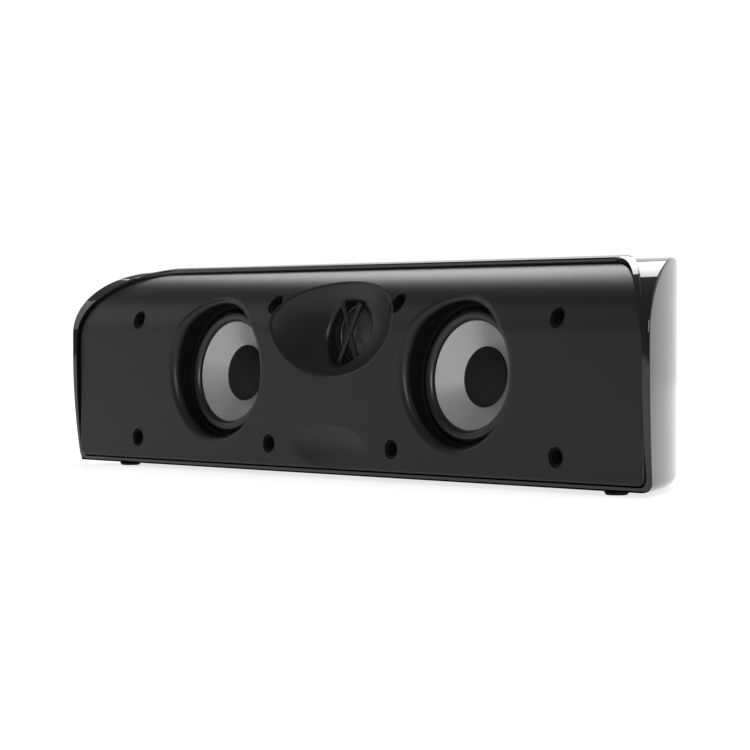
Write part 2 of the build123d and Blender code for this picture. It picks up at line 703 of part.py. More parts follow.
def terminal_pieces():
    face = REAR - CUP_SUNK
    seat = face - CUP_FLANGE_THICK
    floor = REAR - CUP_DEPTH
    floor_front = floor - CUP_SKIN
    board_back = floor_front - BOARD_STANDOFF
    board_front = board_back - BOARD_THICK
    posts = [side * POST_SPACING / 2 for side in (-1, 1)]

    flange = rounded_block(
        CUP_WIDE + 2 * CUP_FLANGE, CUP_TALL + 2 * CUP_FLANGE, CUP_CORNER + CUP_FLANGE, seat, face, CUP_Z
    )
    cup = flange + rounded_block(CUP_WIDE, CUP_TALL, CUP_CORNER, floor_front, face, CUP_Z)
    inner = CUP_CORNER - CUP_SKIN
    cup -= rounded_block(CUP_WIDE - 2 * CUP_SKIN, CUP_TALL - 2 * CUP_SKIN, inner, floor, REAR + WALL, CUP_Z)
    for x in posts:
        cup += outward(POST_FLANGE_R, board_back, floor, x, CUP_Z)
        cup -= outward(POST_R, board_back - WALL, floor + WALL, x, CUP_Z)
    for x, z in cup_screw_places():
        cup -= outward(SCREW_R + SCREW_CLEARANCE, seat - WALL, REAR + WALL, x, z)

    screw_front = seat - CUP_SEAT_THICK + SKIN
    screws = Part()
    for x, z in cup_screw_places():
        screw = outward(SCREW_R, screw_front, face, x, z)
        screws += screw + outward(SCREW_HEAD_R, face, face + SCREW_HEAD, x, z)

    pieces = {"terminal_cup": cup, "terminal_screws": screws}
    nuts = Part()
    nut_front = board_front - NUT_THICK
    flange_top = floor + POST_FLANGE
    post_end = flange_top + POST_LENGTH
    for x, colour in zip(posts, ("black", "red")):
        stud = outward(POST_R, nut_front - SKIN, post_end, x, CUP_Z)
        stud += outward(POST_FLANGE_R, floor, flange_top, x, CUP_Z)
        stud -= outward(PLUG_R, post_end - PLUG_DEPTH, post_end, x, CUP_Z)
        washer = outward(POST_FLANGE_R, flange_top, flange_top + WASHER, x, CUP_Z)
        washer -= outward(POST_R + POST_CLEARANCE, flange_top, flange_top + WASHER, x, CUP_Z)
        cap_low = flange_top + WASHER
        cap_high = cap_low + CAP_NUT_LENGTH + CAP_NUT_END
        plane = Plane(origin=(x, cap_low, CUP_Z), x_dir=(1, 0, 0), z_dir=(0, 1, 0))
        cap = extrude(plane * RegularPolygon(CAP_NUT_R, CAP_NUT_SIDES), cap_high - cap_low)
        cap -= outward(POST_R + POST_CLEARANCE, cap_low, cap_high - CAP_NUT_END, x, CUP_Z)
        cap -= outward(PLUG_R + POST_CLEARANCE, cap_low, cap_high, x, CUP_Z)
        nut_plane = Plane(origin=(x, nut_front, CUP_Z), x_dir=(1, 0, 0), z_dir=(0, 1, 0))
        nut = extrude(nut_plane * RegularPolygon(NUT_R, 6), NUT_THICK)
        nuts += nut - outward(POST_R, nut_front, board_front, x, CUP_Z)
        pieces["binding_post_stud_" + colour] = stud
        pieces["binding_post_washer_" + colour] = washer
        pieces["binding_post_cap_" + colour] = cap
    pieces["binding_post_nuts"] = nuts

    # Crossover board carried on the posts
    middle = (BOARD_LOW_Z + BOARD_HIGH_Z) / 2
    tall = BOARD_HIGH_Z - BOARD_LOW_Z
    board = Pos(0, (board_front + board_back) / 2, middle) * Box(BOARD_WIDE, BOARD_THICK, tall)
    for x in posts:
        board -= outward(POST_R, board_front, board_back, x, CUP_Z)
    chokes = Part()
    capacitors = Part()
    for side in (-1, 1):
        x = side * COIL_X
        choke = outward(CHOKE_R, board_front - CHOKE_HEIGHT, board_front, x, COIL_Z)
        chokes += choke - outward(CHOKE_HOLE_R, board_front - CHOKE_HEIGHT, board_front, x, COIL_Z)
        lying = Rot(0, 90, 0) * Cylinder(CAPACITOR_R, CAPACITOR_LENGTH)
        capacitors += Pos(side * CAPACITOR_X, board_front - CAPACITOR_R, CAPACITOR_Z) * lying
    resistor = Box(RESISTOR_SIZE, RESISTOR_SIZE, RESISTOR_LENGTH)
    resistor = Pos(RESISTOR_X, board_front - RESISTOR_SIZE / 2, RESISTOR_Z) * resistor
    pieces["crossover_board"] = board
    pieces["crossover_inductors"] = chokes
    pieces["crossover_capacitors"] = capacitors
    pieces["crossover_resistor"] = resistor
    return pieces


def wall_insert():
    body = outward(INSERT_R, REAR - INSERT_LENGTH, REAR, 0, INSERT_Z)
    return body - outward(INSERT_BORE_R, REAR - INSERT_LENGTH, REAR, 0, INSERT_Z)


def damping_pad(side):
    low = FLOOR + WALL
    pad = Box(PAD_WIDE, PAD_DEEP, PAD_TALL)
    return Pos(side * (WIDTH / 2 - PAD_FROM_END), ROLL_Y, low + PAD_TALL / 2) * pad


nodes = {
    "cabinet_shell": cabinet_shell(),
    "front_baffle": front_baffle(),
    "baffle_gasket": baffle_gasket(),
    "grille_sockets": grille_sockets(),
    "feet": feet(),
    "wall_insert": wall_insert(),
}
nodes.update(terminal_pieces())
woofer_parts, woofer_screws = woofer_pieces()
screw_group = Part()
for side, x in (("left", -WOOFER_X), ("right", WOOFER_X)):
    plane = woofer_plane(x)
    for name, piece in woofer_parts.items():
        nodes["woofer_" + side + "_" + name] = plane * piece
    screw_group += plane * woofer_screws
    nodes["damping_pad_" + side] = damping_pad(-1 if side == "left" else 1)
nodes["woofer_screws"] = screw_group
tweeter_parts, tweeter_screws = tweeter_pieces()
for name, piece in tweeter_parts.items():
    nodes["tweeter_" + name] = tweeter_plane * piece
nodes["tweeter_screws"] = tweeter_plane * tweeter_screws

os.makedirs("parts", exist_ok=True)
for name, piece in nodes.items():
    export_step(piece, "parts/" + name + ".step")
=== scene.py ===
import json
import math
import bpy
import numpy as np
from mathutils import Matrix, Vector
from mathutils.geometry import delaunay_2d_cdt


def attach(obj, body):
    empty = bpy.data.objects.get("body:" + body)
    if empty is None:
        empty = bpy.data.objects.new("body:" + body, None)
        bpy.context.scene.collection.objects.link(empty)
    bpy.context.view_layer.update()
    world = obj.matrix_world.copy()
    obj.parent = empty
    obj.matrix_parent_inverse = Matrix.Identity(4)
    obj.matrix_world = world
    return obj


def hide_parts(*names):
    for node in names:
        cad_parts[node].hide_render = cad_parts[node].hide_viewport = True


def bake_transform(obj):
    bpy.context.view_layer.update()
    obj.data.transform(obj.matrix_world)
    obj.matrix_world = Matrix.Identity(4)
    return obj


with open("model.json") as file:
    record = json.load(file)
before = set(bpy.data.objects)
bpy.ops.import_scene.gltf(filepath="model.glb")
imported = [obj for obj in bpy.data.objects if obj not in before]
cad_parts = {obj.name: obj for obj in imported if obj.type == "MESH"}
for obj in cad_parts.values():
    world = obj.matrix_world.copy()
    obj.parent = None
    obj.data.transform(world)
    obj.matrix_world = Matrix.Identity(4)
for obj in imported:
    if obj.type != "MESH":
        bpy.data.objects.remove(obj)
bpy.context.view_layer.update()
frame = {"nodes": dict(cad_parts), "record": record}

# Sizes in millimetres, as in the part's source, with the dish and the recess bores a little narrower
WIDTH = 357.6
DEPTH = 117.0
FLOOR = 2.0
CROWN = 89.2
LIP_PROUD = 1.7
LIP_LOW = 0.06
LIP_FADE = 2.2
LIP_SIDE = 1.3
LIP_WIDER = 4.2
LIP_NARROWER = 0.1
LIP_SOFT = 0.02
LIP_SOFT_SHARE = 0.4
LIP_REACH = 5.0
LIP_FOOT = 0.6
LIP_OVERLAP = 0.3
LIP_LEAN = 0.6
BELLY_Z = 49.8
BOTTOM_SETBACK = 3.3
ROLL_DEPTH = 38.4
ROLL_HEIGHT = 28.9
REAR_DROP = 5.0
TAPER = math.radians(24.9)
SIDE_RADIUS = 245.0
REAR_CORNER = 14.0
BOTTOM_EDGE = 4.0
OPEN_MARGIN = 3.6
OPEN_SILL = 1.7
OPEN_TOP_GAP = 1.35
OPEN_CORNER_WIDE = 38.0
OPEN_CORNER_TALL = 32.5
OPEN_FOOT_RADIUS = 4.0
BAFFLE_RECESS = 3.2
BAFFLE_CROWN_GAP = 0.5
BAFFLE_GAP = 0.6
BAFFLE_SKIRT = 3.0
WOOFER_X = 75.0
WOOFER_Z = 43.8
CONE_BEHIND_BAFFLE = 10.65
TILT = math.radians(5.54)
TWEETER_Z = 60.7
RECESS_R = 29.0
RECESS_LIP_R = 27.5
RECESS_LIP = 1.5
RECESS_FOOT = 0.3
CONE_R = 21.8
CONE_NECK_R = 10.2
CONE_DEEP = 8.5
CAP_R = 12.2
CAP_RISE = 3.2
CAP_Z = -6.9
CAP_HUB = 0.01
SURROUND_R = 24.3
SURROUND_HALF = 2.5
SURROUND_TALL = 2.4
SURROUND_OUT = 26.8
SURROUND_FLANGE = 27.45
SURROUND_SEAT = -0.3
DISH_WIDE = 55.8
DISH_DEEP = 49.8
DISH_TALL = 39.6
DISH_AHEAD = 35.6
DISH_Z = 70.1
THROAT_R = 13.1
THROAT_DEEP = 3.5
GUARD_LEAN = math.radians(24)
GUARD_WIDE = 1.1
GUARD_DEEP = 0.95
GUARD_REACH = 0.5
GUARD_ENDS = (-1.0, -0.93, -0.85, 0.85, 0.93, 1.0)
GUARD_FLARE = (1.7, 1.2, 1.0, 1.0, 1.2, 1.7)
DOME_R = 11.6
DOME_ROLL_R = 13.4
DOME_ROLL = 0.9
DOME_FLANGE_R = 14.7
DOME_FLANGE_RISE = 0.1
DOME_EDGE = -6.2
SPIDER_IN = 10.25
SPIDER_FOOT = 18.4
SPIDER_OUT = 21.7
SPIDER_Z = -10.65
SPIDER_WAVE = 1.1
SOCKET_R = 3.9
SOCKET_DEEP = 2.0
SOCKET_OUTER_X = 130.2
SOCKET_INNER_X = 38.4
SOCKET_LOW_Z = 13.7
SOCKET_OUTER_HIGH_Z = 66.4
SOCKET_INNER_HIGH_Z = 72.6
INSERT_Z = 73.0
INSERT_R = 5.0
CUP_Z = 36.0
RABBET_WIDE = 67.6
RABBET_TALL = 53.6
RABBET_CORNER = 10.5
RABBET_DEEP = 3.3
OVAL_WIDE = 21.7
OVAL_TALL = 8.28
OVAL_SHARE = 0.714
OVAL_HUB = 0.003
OVAL_DEEP = 4.0
OVAL_AHEAD = 2.8
OVAL_Z = 13.8

# Small roundings of the visible edges
CREASE_EDGE = 0.7
BAFFLE_EDGE = 1.0
MOUTH_EDGE = 3.2
LIP_EDGE = 0.5
DISH_EDGE = 0.8
THROAT_EDGE = 1.8
SOCKET_EDGE = 0.25
OVAL_EDGE = 0.09

# Where sheets start, how finely they are divided and how far cutting lines run past them
FACE_BELOW = 10.0
FACE_LOW_Z = 8.0
FACE_RIBS = np.linspace(-165, 165, 34)
SKIN_RIBS = np.linspace(-170, 170, 35)
SKIN_ROWS = 150
SKIN_FINE = np.linspace(0, 6, 30)
SKIN_MARGIN = 1.0
BELT_MARGIN = 5.0
PLAN_AHEAD = 1.0
RIM_NEAREST, RIM_FARTHEST = 5.0, 60.0

REAR = DEPTH / 2
SHELL_FRONT = -DEPTH / 2 + LIP_PROUD
ROLL_Y = SHELL_FRONT + ROLL_DEPTH
ROLL_Z = CROWN - ROLL_HEIGHT
SIDE_CX = WIDTH / 2 - SIDE_RADIUS * math.cos(TAPER)
SIDE_CY = SHELL_FRONT - SIDE_RADIUS * math.sin(TAPER)
BAFFLE_Y = -DEPTH / 2 + BAFFLE_RECESS
BAFFLE_CROWN = CROWN - BAFFLE_CROWN_GAP
CONE_Y = BAFFLE_Y + CONE_BEHIND_BAFFLE
TWEETER_Y = CONE_Y + (TWEETER_Z - WOOFER_Z) * math.tan(TILT)
AHEAD = np.array([0.0, -math.cos(TILT), math.sin(TILT)])
ACROSS = np.array([1.0, 0.0, 0.0])
UPWARD = np.array([0.0, math.sin(TILT), math.cos(TILT)])


def unit(v):
    return v / np.linalg.norm(v, axis=-1, keepdims=True)


# Materials
NOISE_LOW, NOISE_HIGH = 0.3, 0.7


def material(name, colour, rough, metal=0.0, grain=900.0, mottle=0.15, uneven=0.04, bump=0.0, shine=0.5):
    """A finish with fine grain: mottled colour, uneven gloss and a small bump, all from one noise."""
    mat = bpy.data.materials.new(name)
    mat.use_nodes = True
    tree = mat.node_tree
    shader = tree.nodes["Principled BSDF"]
    shader.inputs["Metallic"].default_value = metal
    shader.inputs["Specular IOR Level"].default_value = shine
    place = tree.nodes.new("ShaderNodeTexCoord")
    noise = tree.nodes.new("ShaderNodeTexNoise")
    noise.inputs["Scale"].default_value = grain
    noise.inputs["Detail"].default_value = 3.0
    tree.links.new(place.outputs["Object"], noise.inputs["Vector"])
    tint = tree.nodes.new("ShaderNodeValToRGB")
    tint.color_ramp.elements[0].position = NOISE_LOW
    tint.color_ramp.elements[1].position = NOISE_HIGH
    tint.color_ramp.elements[0].color = (*(c * (1 - mottle) for c in colour), 1.0)
    tint.color_ramp.elements[1].color = (*(c * (1 + mottle) for c in colour), 1.0)
    tree.links.new(noise.outputs["Fac"], tint.inputs["Fac"])
    tree.links.new(tint.outputs["Color"], shader.inputs["Base Color"])
    gloss = tree.nodes.new("ShaderNodeMapRange")
    gloss.inputs["From Min"].default_value = NOISE_LOW
    gloss.inputs["From Max"].default_value = NOISE_HIGH
    gloss.inputs["To Min"].default_value = max(rough - uneven, 0.0)
    gloss.inputs["To Max"].default_value = min(rough + uneven, 1.0)
    tree.links.new(noise.outputs["Fac"], gloss.inputs["Value"])
    tree.links.new(gloss.outputs["Result"], shader.inputs["Roughness"])
    if bump:
        relief = tree.nodes.new("ShaderNodeBump")
        relief.inputs["Strength"].default_value = 1.0
        relief.inputs["Distance"].default_value = bump
        tree.links.new(noise.outputs["Fac"], relief.inputs["Height"])
        tree.links.new(relief.outputs["Normal"], shader.inputs["Normal"])
    return mat


MATS = {
    "shell": material("gloss_black", (0.004, 0.004, 0.0045), 0.045, grain=60, uneven=0.01),
    "baffle": material("satin_black", (0.006, 0.006, 0.0063), 0.4, grain=2500, bump=0.000012, shine=0.29),
    "foam": material("foam", (0.01, 0.01, 0.01), 0.9, bump=0.0002),
    # Near-black rubber for the CAD parts in this slot. Its dark colour and low shine also serve the painted
    # shade sheet on the recess and socket walls.
    "rubber_black": material("rubber_black", (0.004, 0.004, 0.004), 0.6, bump=0.00003, shine=0.06),
    "basket": material("basket_paint", (0.012, 0.012, 0.012), 0.4, bump=0.00002),
    "surround": material("surround_rubber", (0.006, 0.006, 0.0062), 0.34, grain=1500, shine=0.4),
    "cone": material(
        "cone_metal", (0.3, 0.3, 0.304), 0.34, metal=0.4, grain=2000, mottle=0.03, uneven=0.01
    ),
    "dust_cap": material("cap_matte", (0.006, 0.006, 0.0062), 0.6, grain=3000, bump=0.00002, shine=0.14),
    "coil": material("coil_wire", (0.45, 0.2, 0.08), 0.35, metal=1.0),
    "spider": material("spider_cloth", (0.4, 0.24, 0.08), 0.9, bump=0.0001),
    "steel": material("zinc_steel", (0.55, 0.55, 0.56), 0.35, metal=1.0),
    "screw_black": material("screw_black", (0.01, 0.01, 0.01), 0.35),
    "ferrite": material("ferrite", (0.03, 0.03, 0.032), 0.6, bump=0.00005),
    "neodymium": material("nickel", (0.6, 0.58, 0.54), 0.2, metal=1.0),
    "tweeter_face": material("tweeter_face", (0.008, 0.008, 0.008), 0.6, bump=0.00002),
    "dome": material("dome_cloth", (0.02, 0.02, 0.021), 0.45, grain=4000, bump=0.00003),
    "cup": material("cup_plastic", (0.009, 0.009, 0.009), 0.4, grain=2000, bump=0.00003),
    "brass": material("gold_brass", (0.75, 0.52, 0.22), 0.22, metal=1.0, mottle=0.05),
    "cap_red": material("cap_red", (0.42, 0.01, 0.01), 0.28),
    "cap_black": material("cap_black", (0.01, 0.01, 0.01), 0.28),
    "board": material("board_green", (0.01, 0.1, 0.03), 0.4),
    "copper": material("copper_wire", (0.6, 0.25, 0.1), 0.35, metal=1.0),
    "capacitor": material("capacitor_film", (0.02, 0.03, 0.1), 0.4),
    "resistor": material("resistor_cement", (0.7, 0.68, 0.62), 0.8, bump=0.00005),
    "wadding": material("wadding", (0.75, 0.75, 0.72), 1.0, grain=300, bump=0.001),
}


class Shape:
    """Points with their own normals, gathered into one mesh."""

    def __init__(self):
        self.points = []
        self.normals = []
        self.faces = []
        self.count = 0

    def patch(self, points, normals, faces):
        points = np.asarray(points, float)
        normals = unit(np.asarray(normals, float))
        faces = np.asarray(faces)
        a, b, c = (points[faces[:, k]] for k in range(3))
        facing = np.einsum("ij,ij->i", np.cross(b - a, c - a), normals[faces].mean(1))
        faces = np.where((facing < 0)[:, None], faces[:, ::-1], faces)
        self.faces += (faces + self.count).tolist()
        self.points.append(points)
        self.normals.append(normals)
        self.count += len(points)

    def grid(self, points, normals, closed=False):
        rows, cols = points.shape[:2]
        index = np.arange(rows * cols).reshape(rows, cols)
        if closed:
            index = np.concatenate([index, index[:, :1]], axis=1)
        corners = [index[:-1, :-1], index[1:, :-1], index[1:, 1:], index[:-1, 1:]]
        self.patch(points.reshape(-1, 3), normals.reshape(-1, 3), np.stack(corners, -1).reshape(-1, 4))

    def build(self, name, slot, body, *nodes):
        mesh = bpy.data.meshes.new(name)
        points = np.concatenate(self.points) * 0.001
        mesh.from_pydata(points.tolist(), [], self.faces)
        mesh.polygons.foreach_set("use_smooth", [True] * len(mesh.polygons))
        mesh.normals_split_custom_set_from_vertices(np.concatenate(self.normals).tolist())
        mesh.materials.append(MATS[slot])
        obj = bpy.data.objects.new(name, mesh)
        bpy.context.scene.collection.objects.link(obj)
        if body:
            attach(obj, body)
        if nodes:
            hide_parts(*nodes)
        return obj


def swept_normals(points, closed, toward):
    """Normals of a grid from its own slopes, turned to agree with the given directions."""
    along = np.gradient(points, axis=0)
    if closed:
        around = np.roll(points, -1, axis=1) - np.roll(points, 1, axis=1)
    else:
        around = np.gradient(points, axis=1)
    normals = unit(np.cross(along, around))
    sign = np.sign(np.einsum("ijk,ijk->ij", normals, np.broadcast_to(toward, normals.shape)))
    return normals * np.where(sign == 0, 1, sign)[..., None]


def rounding(start, corner, end, steps=8):
    """Rows of a quarter round from start to end, with its sharp corner given."""
    t = np.linspace(0, 1, steps + 1)[:, None, None]
    w = math.sqrt(0.5)
    a, b, c = (1 - t) ** 2, 2 * w * t * (1 - t), t**2
    return (a * start + b * corner + c * end) / (a + b + c)


def inside(points, loop):
    """Which points lie inside a closed loop."""
    hit = np.zeros(len(points), bool)
    x, y = points[:, 0], points[:, 1]
    for (x0, y0), (x1, y1) in zip(loop, np.roll(loop, -1, axis=0)):
        if y0 == y1:
            continue
        cross = (y0 > y) != (y1 > y)
        hit ^= cross & (x < (x1 - x0) * (y - y0) / (y1 - y0) + x0)
    return hit


def cut_sheet(shape, loop, holes, lines, place):
    """A trimmed sheet in two coordinates, laid on a surface by place."""
    points, edges = [], []
    for ring in [loop] + holes:
        first = len(points)
        points += [tuple(p) for p in ring]
        edges += [(first + k, first + (k + 1) % len(ring)) for k in range(len(ring))]
    for line in lines:
        first = len(points)
        points += [tuple(p) for p in line]
        edges += [(first + k, first + k + 1) for k in range(len(line) - 1)]
    found = delaunay_2d_cdt([Vector(p) for p in points], edges, [], 0, 1e-6)
    flat = np.array([tuple(p) for p in found[0]])
    faces = np.array([list(f) for f in found[2]])
    middle = flat[faces].mean(1)
    keep = inside(middle, np.asarray(loop))
    for ring in holes:
        keep &= ~inside(middle, np.asarray(ring))
    used, index = np.unique(faces[keep], return_inverse=True)
    spot, normal = place(flat[used, 0], flat[used, 1])
    shape.patch(spot, normal, index.reshape(-1, 3))


class Profile:
    """A side profile pulled along X: place by X and length along the profile."""

    def __init__(self, y, z, ny, nz):
        self.y, self.z = np.array(y), np.array(z)
        size = np.hypot(ny, nz)
        self.ny, self.nz = np.array(ny) / size, np.array(nz) / size
        self.s = np.concatenate([[0], np.cumsum(np.hypot(np.diff(self.y), np.diff(self.z)))])
        self.rising = self.z <= self.z.max() - 1e-9
        self.rising[np.argmax(self.z) :] = False

    def at(self, x, s):
        x, s = np.broadcast_arrays(np.asarray(x, float), np.asarray(s, float))
        y, z = np.interp(s, self.s, self.y), np.interp(s, self.s, self.z)
        ny, nz = np.interp(s, self.s, self.ny), np.interp(s, self.s, self.nz)
        return np.stack([x, y, z], -1), unit(np.stack([np.zeros_like(y), ny, nz], -1))

    def s_of_z(self, z):
        return np.interp(z, self.z[self.rising], self.s[self.rising])

    def y_of_z(self, z):
        return np.interp(z, self.z[self.rising], self.y[self.rising])


def quarter_ellipse(front, crown, count):
    angle = np.linspace(0, math.pi / 2, count)
    deep, tall = ROLL_Y - front, crown - ROLL_Z
    y = ROLL_Y - deep * np.cos(angle)
    z = ROLL_Z + tall * np.sin(angle)
    return y, z, -np.cos(angle) / deep, np.sin(angle) / tall


def shell_profile():
    bow = (BOTTOM_SETBACK**2 + (BELLY_Z - FLOOR) ** 2) / (2 * BOTTOM_SETBACK)
    z0 = np.linspace(FLOOR, BELLY_Z, 40)[:-1]
    y0 = SHELL_FRONT + bow - np.sqrt(bow**2 - (z0 - BELLY_Z) ** 2)
    z1 = np.linspace(BELLY_Z, ROLL_Z, 6)[:-1]
    y2, z2, n2, m2 = quarter_ellipse(SHELL_FRONT, CROWN, 160)
    run = REAR - ROLL_Y
    arc = (run**2 + REAR_DROP**2) / (2 * REAR_DROP)
    y3 = np.linspace(ROLL_Y, REAR, 60)[1:]
    z3 = CROWN - arc + np.sqrt(arc**2 - (y3 - ROLL_Y) ** 2)
    y = np.concatenate([y0, np.full_like(z1, SHELL_FRONT), y2, y3])
    z = np.concatenate([z0, z1, z2, z3])
    ny = np.concatenate([y0 - SHELL_FRONT - bow, -np.ones_like(z1), n2, (y3 - ROLL_Y) / arc])
    nz = np.concatenate([z0 - BELLY_Z, np.zeros_like(z1), m2, (z3 - CROWN + arc) / arc])
    return Profile(y, z, ny, nz)


def baffle_profile():
    z0 = np.linspace(FLOOR - FACE_BELOW, ROLL_Z, 40)[:-1]
    y1, z1, n1, m1 = quarter_ellipse(BAFFLE_Y, BAFFLE_CROWN, 200)
    return Profile(
        np.concatenate([np.full_like(z0, BAFFLE_Y), y1]),
        np.concatenate([z0, z1]),
        np.concatenate([-np.ones_like(z0), n1]),
        np.concatenate([np.zeros_like(z0), m1]),
    )


SKIN = shell_profile()
FACE = baffle_profile()


def front_outline(grow):
    """Front view of the opening as a closed loop of X and Z, from bottom middle to the right."""
    half = WIDTH / 2 - OPEN_MARGIN + grow
    low = FLOOR + OPEN_SILL - grow
    high = CROWN - OPEN_TOP_GAP + grow
    wide, tall = OPEN_CORNER_WIDE + grow, OPEN_CORNER_TALL + grow
    foot = OPEN_FOOT_RADIUS + grow
    turn = np.linspace(0, math.pi / 2, 41)[:-1]
    small = np.linspace(0, math.pi / 2, 13)[:-1]
    bottom = np.stack([np.linspace(0, half - foot, 30)[:-1], np.full(29, low)], -1)
    heel = np.stack([half - foot + foot * np.sin(small), low + foot - foot * np.cos(small)], -1)
    side = np.stack([np.full(14, half), np.linspace(low + foot, high - tall, 15)[:-1]], -1)
    corner = np.stack([half - wide + wide * np.cos(turn), high - tall + tall * np.sin(turn)], -1)
    top = np.stack([np.linspace(half - wide, 0, 30)[:-1], np.full(29, high)], -1)
    right = np.concatenate([bottom, heel, side, corner, top])
    left = right[1:][::-1] * [-1, 1]
    peak = np.array([[0, high]])
    return np.concatenate([right, peak, left])


def on_profile(loop, profile):
    """An outline as X and profile length, with the outward direction in those coordinates."""
    flat = np.stack([loop[:, 0], profile.s_of_z(loop[:, 1])], -1)
    ahead = np.roll(flat, -1, axis=0) - np.roll(flat, 1, axis=0)
    out = unit(np.stack([ahead[:, 1], -ahead[:, 0]], -1))
    return flat, out


def follow(profile, flat, out, along, above):
    """Points at a distance along the surface and above it, round an outline."""
    spot, normal = profile.at(flat[:, 0] + along * out[:, 0], flat[:, 1] + along * out[:, 1])
    return spot + normal * np.broadcast_to(above, len(flat))[:, None]


# Plan of the cabinet
def plan_path():
    """Right half of the plan from the front corner to the middle of the rear, and where its flat starts."""
    y_centre = REAR - REAR_CORNER
    inner = SIDE_RADIUS - REAR_CORNER
    x_centre = SIDE_CX + math.sqrt(inner**2 - (y_centre - SIDE_CY) ** 2)
    meet = math.atan2(y_centre - SIDE_CY, x_centre - SIDE_CX)
    start = math.asin((SHELL_FRONT - PLAN_AHEAD - SIDE_CY) / SIDE_RADIUS)
    a = np.linspace(start, meet, 120)
    b = np.linspace(meet, math.pi / 2, 24)[1:]
    side = np.stack([SIDE_CX + SIDE_RADIUS * np.cos(a), SIDE_CY + SIDE_RADIUS * np.sin(a)], -1)
    bend = np.stack([x_centre + REAR_CORNER * np.cos(b), y_centre + REAR_CORNER * np.sin(b)], -1)
    flat = np.stack([np.linspace(x_centre, 0, 12)[1:], np.full(11, REAR)], -1)
    turn = np.concatenate([a, b, np.full(11, math.pi / 2)])
    normal = np.stack([np.cos(turn), np.sin(turn)], -1)
    return np.concatenate([side, bend, flat]), normal, x_centre


PLAN, PLAN_N, REAR_FLAT = plan_path()
PLAN_U = np.concatenate([[0], np.cumsum(np.hypot(*np.diff(PLAN, axis=0).T))])
SIDE_END = int(np.argmax(PLAN[:, 1] >= REAR - 1e-9))


def plan_at(u):
    """Place on the plan by length from the right front corner; past the middle it mirrors."""
    whole = 2 * PLAN_U[-1]
    mirrored = u > PLAN_U[-1]
    v = np.where(mirrored, whole - u, u)
    side = np.where(mirrored, -1.0, 1.0)
    x, y = (np.interp(v, PLAN_U, PLAN[:, k]) for k in range(2))
    nx, ny = (np.interp(v, PLAN_U, PLAN_N[:, k]) for k in range(2))
    return np.stack([x * side, y], -1), unit(np.stack([nx * side, ny], -1))


def half_width(y):
    return np.interp(y, PLAN[: SIDE_END + 1, 1], PLAN[: SIDE_END + 1, 0])


def plan_u(y):
    return np.interp(y, PLAN[: SIDE_END + 1, 1], PLAN_U[: SIDE_END + 1])


def lip_width(out):
    """Lip is widest where it crosses the top and narrow along the sides and sill."""
    up = np.clip(out[:, 1], 0, 1)
    down = np.clip(-out[:, 1], 0, 1)
    return LIP_SIDE + LIP_WIDER * up**3 - LIP_NARROWER * down


def rounded_loop(wide, tall, corner):
    turn = np.linspace(0, math.pi / 2, 9)
    points = []
    for k, (sx, sz) in enumerate(((1, 1), (-1, 1), (-1, -1), (1, -1))):
        a = turn + k * math.pi / 2
        cx, cz = sx * (wide / 2 - corner), sz * (tall / 2 - corner)
        points.append(np.stack([cx + corner * np.cos(a), cz + corner * np.sin(a)], -1))
    return np.concatenate(points)


